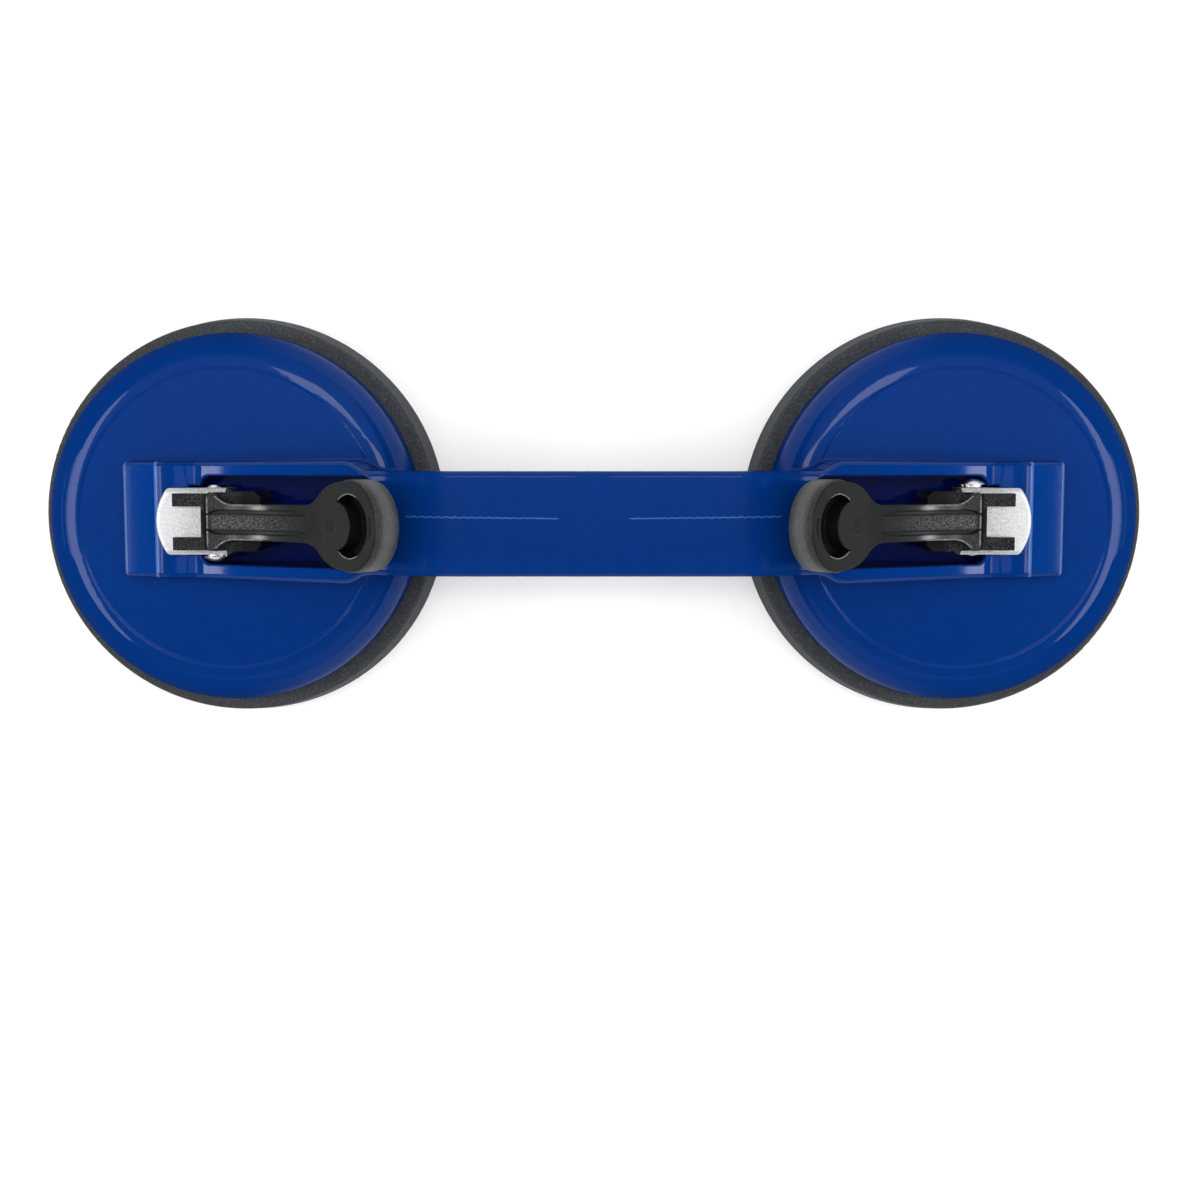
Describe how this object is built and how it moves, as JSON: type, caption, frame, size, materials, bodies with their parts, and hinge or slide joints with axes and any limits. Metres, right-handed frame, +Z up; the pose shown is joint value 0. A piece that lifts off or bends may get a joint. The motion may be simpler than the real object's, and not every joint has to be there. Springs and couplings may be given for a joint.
{
  "type": "floor tile suction lifter",
  "caption": "Carrying handle with a round rubber suction pad under each end, each drawn up or let go by a small pivoting lever on top.",
  "frame": {"origin": "on the floor plane under the middle of the handle, half way between the centres of the two pads", "axes": "+X along the handle from the left pad to the right pad, +Z up away from the surface that the pads stand on, +Y away from whoever reads the picture from its lower edge"},
  "size_m": [0.3238, 0.1174, 0.0782],
  "materials": {
    "blue_paint": "gloss",
    "pad_rubber": "matte",
    "lever_plastic": "satin",
    "clip_steel": "satin",
    "zinc_steel": "satin",
    "bush_plastic": "satin"
  },
  "bodies": {
    "handle": {"handle_body": "blue_paint", "left_suction_pad": "pad_rubber", "left_stem_bush": "bush_plastic", "left_wear_plate": "zinc_steel", "right_suction_pad": "pad_rubber", "right_stem_bush": "bush_plastic", "right_wear_plate": "zinc_steel"},
    "left_draw": {"left_draw_stem": "zinc_steel", "left_pad_plate": "zinc_steel"},
    "left_release": {"left_lever_clip": "clip_steel", "left_lever": "lever_plastic", "left_pivot_rivet": "zinc_steel", "left_rivet_washer": "zinc_steel"},
    "right_draw": {"right_draw_stem": "zinc_steel", "right_pad_plate": "zinc_steel"},
    "right_release": {"right_lever_clip": "clip_steel", "right_lever": "lever_plastic", "right_pivot_rivet": "zinc_steel", "right_rivet_washer": "zinc_steel"}
  },
  "joints": [
    {"name": "left_stem_slide", "type": "slide", "parent": "handle", "child": "left_draw", "axis": [0, 0, -1], "range_m": [0, 0.0028], "deforming": ["left_suction_pad"]},
    {"name": "left_lever_hinge", "type": "hinge", "parent": "left_draw", "child": "left_release", "pos_m": [-0.10325, 0, 0.0336], "axis": [0, -1, 0], "range_deg": [0, 24]},
    {"name": "right_stem_slide", "type": "slide", "parent": "handle", "child": "right_draw", "axis": [0, 0, -1], "range_m": [0, 0.0028], "deforming": ["right_suction_pad"]},
    {"name": "right_lever_hinge", "type": "hinge", "parent": "right_draw", "child": "right_release", "pos_m": [0.10325, 0, 0.0336], "axis": [0, 1, 0], "range_deg": [0, 24]}
  ],
  "couplings": [
    {"joint": "left_stem_slide", "follows": "left_lever_hinge", "m_per_rad": 0.006684},
    {"joint": "right_stem_slide", "follows": "right_lever_hinge", "m_per_rad": 0.006684}
  ]
}
